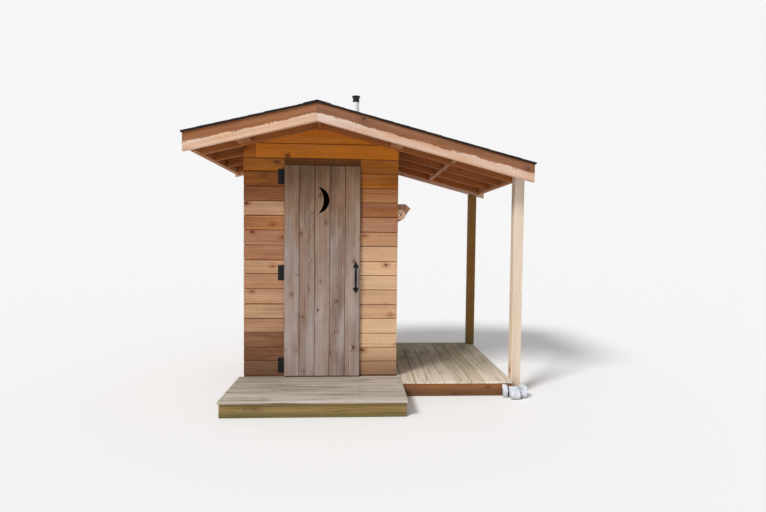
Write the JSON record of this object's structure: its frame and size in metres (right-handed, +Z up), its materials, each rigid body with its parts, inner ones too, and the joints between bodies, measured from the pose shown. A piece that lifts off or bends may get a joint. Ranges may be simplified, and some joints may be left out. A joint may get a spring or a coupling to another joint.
{
  "type": "outhouse",
  "caption": "Wooden outhouse with a gabled roof that reaches over a side porch, a boarded door with a moon cut-out, a front step and a roof vent.",
  "frame": {"origin": "centre of the whole part's plan box, on the ground", "axes": "+X to the right along the front wall as seen from outside, +Y in through the door to the back, +Z up"},
  "size_m": [3.03, 2.045, 3.0407],
  "materials": {
    "treated_lumber": "rough sawn, dull",
    "floor_planks": "planed, unfinished",
    "cedar_siding": "planed cedar, oiled, knots",
    "stud_lumber": "planed softwood, unfinished",
    "rafter_lumber": "stained reddish brown, satin",
    "barge_lumber": "stained, sun bleached lower half",
    "roof_boarding": "raw panel",
    "roofing_felt": "mineral grit, matt charcoal",
    "pale_post": "planed pine, pale",
    "dark_post": "treated, olive brown",
    "pale_stone": "rough",
    "deck_planks": "worn, pale",
    "step_planks": "weathered grey",
    "step_fascia": "olive tan, dull",
    "white_pipe": "satin white",
    "black_cap": "matt black",
    "holder_wood": "planed softwood",
    "door_planks": "weathered grey brown",
    "black_iron": "matt black iron"
  },
  "bodies": {
    "building": {"floor_skids": "treated_lumber", "floor_frame": "treated_lumber", "floor_boards": "floor_planks", "front_siding": "cedar_siding", "left_siding": "cedar_siding", "right_siding": "cedar_siding", "back_siding": "cedar_siding", "left_studs": "stud_lumber", "right_studs": "stud_lumber", "back_studs": "stud_lumber", "front_frame": "stud_lumber", "door_lining": "stud_lumber", "head_board": "cedar_siding", "rafter_pair_1": "rafter_lumber", "rafter_pair_2": "rafter_lumber", "rafter_pair_3": "rafter_lumber", "rafter_pair_4": "rafter_lumber", "ridge_board": "rafter_lumber", "barge_front": "barge_lumber", "barge_back": "barge_lumber", "lookouts": "rafter_lumber", "porch_blocking": "rafter_lumber", "eave_board": "barge_lumber", "porch_beam": "rafter_lumber", "sheathing_left": "roof_boarding", "sheathing_right": "roof_boarding", "roofing_left": "roofing_felt", "roofing_right": "roofing_felt", "ridge_cap": "roofing_felt", "post_front": "pale_post", "post_back": "dark_post", "post_stones": "pale_stone", "deck_boards": "deck_planks", "deck_frame": "treated_lumber", "step_boards": "step_planks", "step_frame": "step_fascia", "vent_pipe": "white_pipe", "vent_cap": "black_cap", "roll_holder": "holder_wood", "hinge_wall_leaves": "black_iron"},
    "door": {"door_boards": "door_planks", "door_ledges": "door_planks", "door_pull": "black_iron", "hinge_door_leaves": "black_iron"}
  },
  "joints": [
    {"name": "door_hinge", "type": "hinge", "parent": "building", "child": "door", "pos_m": [-0.716, -0.3605, 1.1], "axis": [0, 0, -1], "range_deg": [0, 95]}
  ]
}
